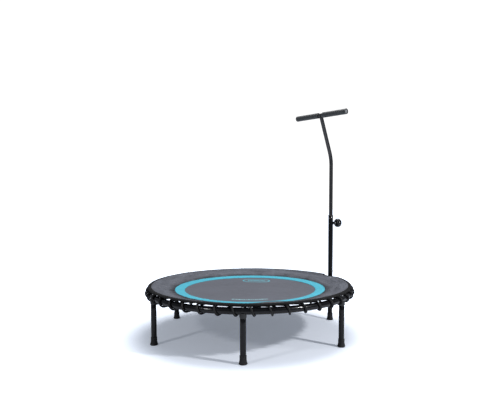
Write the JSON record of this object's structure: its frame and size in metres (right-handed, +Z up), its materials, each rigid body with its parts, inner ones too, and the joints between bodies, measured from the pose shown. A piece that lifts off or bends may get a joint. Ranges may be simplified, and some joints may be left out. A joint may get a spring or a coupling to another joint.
{
  "type": "mini trampoline",
  "caption": "Round fitness trampoline with an elastic-cord bed, a padded-look cloth cover, screwed-on legs and a height-adjustable T-handle.",
  "frame": {"origin": "on the floor under the middle of the ring", "axes": "+Z up; the handle stands over the leg at 30 degrees from +X towards +Y, and a leg lies on -Y"},
  "size_m": [1.1408, 1.1392, 1.241],
  "materials": {
    "black_paint": "glossy black powder coat on steel tube",
    "zinc_steel": "bright zinc plate",
    "black_rubber": "matt moulded rubber",
    "black_plastic": "fine-grained moulding",
    "gloss_black_plastic": "smooth and shiny",
    "grey_plastic": "satin moulding",
    "grip_foam": "soft closed-cell foam, matt",
    "mesh_cloth": "open woven polypropylene mesh",
    "black_webbing": "ribbed polyester webbing",
    "teal_cloth": "woven polyester band",
    "skirt_cloth": "slightly shiny coated polyester, wrinkled",
    "hem_cloth": "matt elastic hem tape",
    "cord_cloth": "braided sheath over rubber"
  },
  "bodies": {
    "frame": {"frame_arc_1": "black_paint", "frame_arc_2": "black_paint", "frame_arc_3": "black_paint", "frame_arc_4": "black_paint", "frame_arc_5": "black_paint", "frame_arc_6": "black_paint", "leg_1": "black_paint", "leg_2": "black_paint", "leg_3": "black_paint", "leg_4": "black_paint", "leg_5": "black_paint", "leg_6": "black_paint", "leg_saddle_1": "black_plastic", "leg_saddle_2": "black_plastic", "leg_saddle_3": "black_plastic", "leg_saddle_4": "black_plastic", "leg_saddle_5": "black_plastic", "leg_saddle_6": "black_plastic", "leg_bolt_1": "zinc_steel", "leg_bolt_2": "zinc_steel", "leg_bolt_3": "zinc_steel", "leg_bolt_4": "zinc_steel", "leg_bolt_5": "zinc_steel", "leg_bolt_6": "zinc_steel", "foot_1": "black_rubber", "foot_2": "black_rubber", "foot_3": "black_rubber", "foot_4": "black_rubber", "foot_5": "black_rubber", "foot_6": "black_rubber", "cover_skirt": "skirt_cloth", "cover_hem": "hem_cloth", "bungee_cord": "cord_cloth", "handle_socket": "black_paint", "handle_socket_screw": "zinc_steel", "handle_post": "black_paint", "post_bush": "black_plastic", "pin_boss": "black_paint"},
    "bed": {"jumping_mat": "mesh_cloth", "mat_edge_webbing": "black_webbing", "cover_border": "teal_cloth"},
    "handle": {"handle_stem": "black_paint", "handle_bar": "black_paint", "grip_right": "grip_foam", "grip_left": "grip_foam", "end_plug_right": "grey_plastic", "end_plug_left": "grey_plastic"},
    "lock": {"lock_pin": "zinc_steel", "pin_spring": "zinc_steel", "pin_knob": "gloss_black_plastic"}
  },
  "joints": [
    {"name": "bed_bounce", "type": "slide", "parent": "frame", "child": "bed", "axis": [0, 0, 1], "range_m": [-0.12, 0.02], "stiffness_N_per_m": 9000, "springref_m": 0.0018, "deforming": ["cover_skirt", "bungee_cord"]},
    {"name": "handle_height", "type": "slide", "parent": "frame", "child": "handle", "axis": [0, 0, 1], "range_m": [-0.175, 0.05]},
    {"name": "lock_knob_pull", "type": "slide", "parent": "frame", "child": "lock", "axis": [0.866, 0.5, 0], "range_m": [0, 0.0045], "stiffness_N_per_m": 1500, "springref_m": -0.002}
  ]
}
